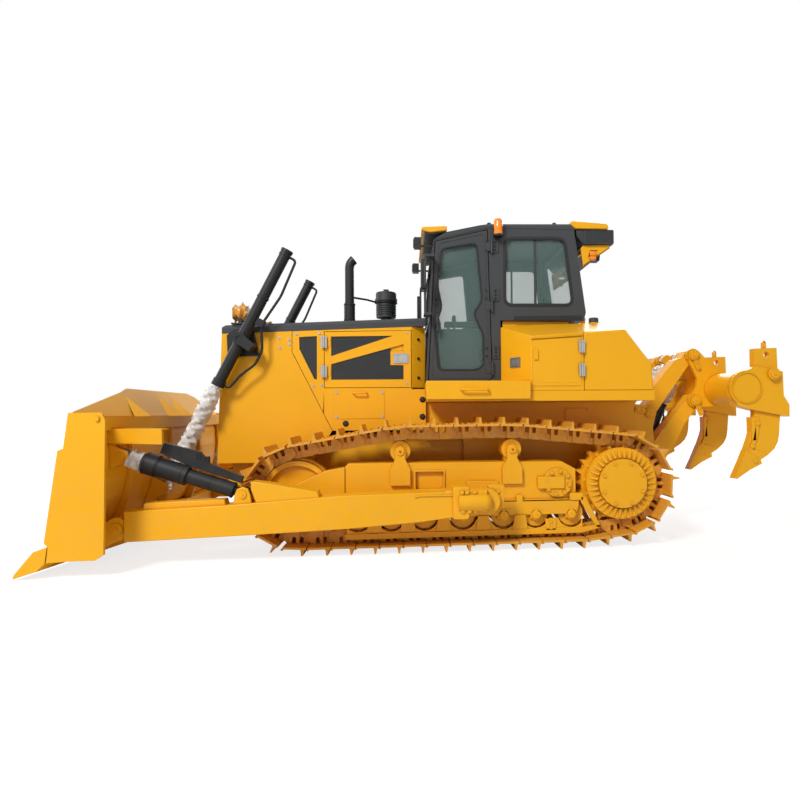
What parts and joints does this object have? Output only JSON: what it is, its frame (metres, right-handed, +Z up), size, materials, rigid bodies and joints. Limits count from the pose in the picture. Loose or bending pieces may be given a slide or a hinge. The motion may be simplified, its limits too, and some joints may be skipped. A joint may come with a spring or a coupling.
{
  "type": "crawler bulldozer with ripper",
  "caption": "Crawler bulldozer with a semi-U blade, enclosed cab and a multi-shank parallelogram ripper.",
  "frame": {"origin": "on the ground, in the plane of symmetry of the tracks, at half the overall length from the blade's tips to the ripper's rear", "axes": "+X forward to the blade, +Y to the machine's left, +Z up"},
  "size_m": [6.96, 3.724, 3.4031],
  "materials": {
    "yellow_paint": "semi-gloss construction yellow",
    "dark_paint": "satin dark grey",
    "black_plastic": "matte black",
    "track_steel": "yellow paint, worn on the shoes",
    "window_glass": "clear, slightly green",
    "seat_cloth": "woven cloth",
    "amber_lens": "moulded amber lens",
    "lamp_housing": "moulded housing and clear lens",
    "chrome_rod": "hard chrome",
    "core_metal": "plain dark casting"
  },
  "bodies": {
    "root": {"air_conditioner": "black_plastic", "air_precleaner": "black_plastic", "beacon": "amber_lens", "cab_frame": "dark_paint", "cab_glass": "window_glass", "cab_roof": "dark_paint", "cab_visors": "yellow_paint", "control_console": "black_plastic", "deck_boxes": "yellow_paint", "engine_block": "core_metal", "exhaust_pipe": "dark_paint", "fenders": "yellow_paint", "final_drives": "yellow_paint", "front_grille": "dark_paint", "fuel_tank": "yellow_paint", "grab_rails": "dark_paint", "hood_sides": "yellow_paint", "hood_top": "dark_paint", "idlers": "yellow_paint", "lamps": "lamp_housing", "lift_yokes": "yellow_paint", "main_frame": "yellow_paint", "radiator": "core_metal", "radiator_guard": "yellow_paint", "ripper_bracket": "yellow_paint", "seat": "seat_cloth", "sprockets": "yellow_paint", "track_frames": "yellow_paint", "track_left": "track_steel", "track_right": "track_steel", "track_rollers": "yellow_paint"},
    "blade": {"blade_moldboard": "yellow_paint", "cutting_edge": "yellow_paint", "push_arm_left": "yellow_paint", "push_arm_right": "yellow_paint", "tilt_cylinder": "dark_paint", "brace": "yellow_paint"},
    "lift_barrel_left": {"lift_barrel_left": "dark_paint"},
    "lift_barrel_right": {"lift_barrel_right": "dark_paint"},
    "lift_rod_left": {"lift_rod_left": "chrome_rod"},
    "lift_rod_right": {"lift_rod_right": "chrome_rod"},
    "ripper_lower_link": {"ripper_lower_link": "yellow_paint"},
    "ripper_upper_links": {"ripper_upper_links": "yellow_paint"},
    "ripper_beam": {"ripper_beam": "yellow_paint", "ripper_shanks": "yellow_paint", "ripper_points": "yellow_paint"},
    "ripper_barrel_left": {"ripper_barrel_left": "yellow_paint"},
    "ripper_barrel_right": {"ripper_barrel_right": "yellow_paint"},
    "ripper_rod_left": {"ripper_rod_left": "chrome_rod"},
    "ripper_rod_right": {"ripper_rod_right": "chrome_rod"},
    "cab_door_left": {"cab_door_left": "dark_paint", "door_glass_left": "window_glass"},
    "cab_door_right": {"cab_door_right": "dark_paint", "door_glass_right": "window_glass"},
    "engine_door_left": {"engine_door_left": "yellow_paint"},
    "engine_door_right": {"engine_door_right": "yellow_paint"},
    "box_door_left": {"box_door_left": "yellow_paint"},
    "box_door_right": {"box_door_right": "yellow_paint"}
  },
  "joints": [
    {"name": "blade_lift", "type": "hinge", "parent": "root", "child": "blade", "pos_m": [-0.322, 0, 0.496], "axis": [0, -1, 0], "range_deg": [-4.5, 18.2]},
    {"name": "ripper_lift", "type": "hinge", "parent": "root", "child": "ripper_lower_link", "pos_m": [-2.256, 0, 0.781], "axis": [0, -1, 0], "range_deg": [0, 70]},
    {"name": "ripper_upper_hinge", "type": "hinge", "parent": "root", "child": "ripper_upper_links", "pos_m": [-2.236, 0, 1.279], "axis": [0, -1, 0], "range_deg": [0, 70.5]},
    {"name": "ripper_beam_hinge", "type": "hinge", "parent": "ripper_lower_link", "child": "ripper_beam", "pos_m": [-2.751, 0, 1.407], "axis": [0, -1, 0], "range_deg": [-70.5, 0]},
    {"name": "lift_barrel_left_hinge", "type": "hinge", "parent": "root", "child": "lift_barrel_left", "pos_m": [2.033, 0.735, 2.037], "axis": [0, -1, 0], "range_deg": [-4.7, 18.7]},
    {"name": "lift_rod_left_slide", "type": "slide", "parent": "lift_barrel_left", "child": "lift_rod_left", "axis": [0.4489, 0, -0.8936], "range_m": [-0.9, 0.23]},
    {"name": "ripper_barrel_left_hinge", "type": "hinge", "parent": "root", "child": "ripper_barrel_left", "pos_m": [-2.23, 0.18, 0.655], "axis": [0, -1, 0], "range_deg": [0, 42]},
    {"name": "ripper_rod_left_slide", "type": "slide", "parent": "ripper_barrel_left", "child": "ripper_rod_left", "axis": [-0.372, 0, 0.9282], "range_m": [-0.47, 0]},
    {"name": "lift_barrel_right_hinge", "type": "hinge", "parent": "root", "child": "lift_barrel_right", "pos_m": [2.033, -0.735, 2.037], "axis": [0, -1, 0], "range_deg": [-4.7, 18.7]},
    {"name": "lift_rod_right_slide", "type": "slide", "parent": "lift_barrel_right", "child": "lift_rod_right", "axis": [0.4489, 0, -0.8936], "range_m": [-0.9, 0.23]},
    {"name": "ripper_barrel_right_hinge", "type": "hinge", "parent": "root", "child": "ripper_barrel_right", "pos_m": [-2.23, -0.18, 0.655], "axis": [0, -1, 0], "range_deg": [0, 42]},
    {"name": "ripper_rod_right_slide", "type": "slide", "parent": "ripper_barrel_right", "child": "ripper_rod_right", "axis": [-0.372, 0, 0.9282], "range_m": [-0.47, 0]},
    {"name": "cab_door_left_hinge", "type": "hinge", "parent": "root", "child": "cab_door_left", "pos_m": [-0.486, 0.756, 2.395], "axis": [0, 0, 1], "range_deg": [0, 88]},
    {"name": "engine_door_left_hinge", "type": "hinge", "parent": "root", "child": "engine_door_left", "pos_m": [1.235, 0.632, 1.875], "axis": [0, 0, -1], "range_deg": [0, 100]},
    {"name": "box_door_left_hinge", "type": "hinge", "parent": "root", "child": "box_door_left", "pos_m": [-1.308, 1.162, 1.88], "axis": [0, 0, 1], "range_deg": [0, 100]},
    {"name": "cab_door_right_hinge", "type": "hinge", "parent": "root", "child": "cab_door_right", "pos_m": [-0.486, -0.756, 2.395], "axis": [0, 0, -1], "range_deg": [0, 88]},
    {"name": "engine_door_right_hinge", "type": "hinge", "parent": "root", "child": "engine_door_right", "pos_m": [1.235, -0.632, 1.875], "axis": [0, 0, 1], "range_deg": [0, 100]},
    {"name": "box_door_right_hinge", "type": "hinge", "parent": "root", "child": "box_door_right", "pos_m": [-1.308, -1.162, 1.88], "axis": [0, 0, -1], "range_deg": [0, 100]}
  ],
  "couplings": [
    {"joint": "ripper_upper_hinge", "follows": "ripper_lift", "ratio": 1},
    {"joint": "ripper_beam_hinge", "follows": "ripper_lift", "ratio": -1},
    {"joint": "lift_barrel_left_hinge", "follows": "blade_lift", "ratio": 1.0165},
    {"joint": "lift_rod_left_slide", "follows": "blade_lift", "m_per_rad": -2.797},
    {"joint": "ripper_barrel_left_hinge", "follows": "ripper_lift", "ratio": 0.592},
    {"joint": "ripper_rod_left_slide", "follows": "ripper_lift", "m_per_rad": -0.3817},
    {"joint": "lift_barrel_right_hinge", "follows": "blade_lift", "ratio": 1.0165},
    {"joint": "lift_rod_right_slide", "follows": "blade_lift", "m_per_rad": -2.797},
    {"joint": "ripper_barrel_right_hinge", "follows": "ripper_lift", "ratio": 0.592},
    {"joint": "ripper_rod_right_slide", "follows": "ripper_lift", "m_per_rad": -0.3817}
  ]
}
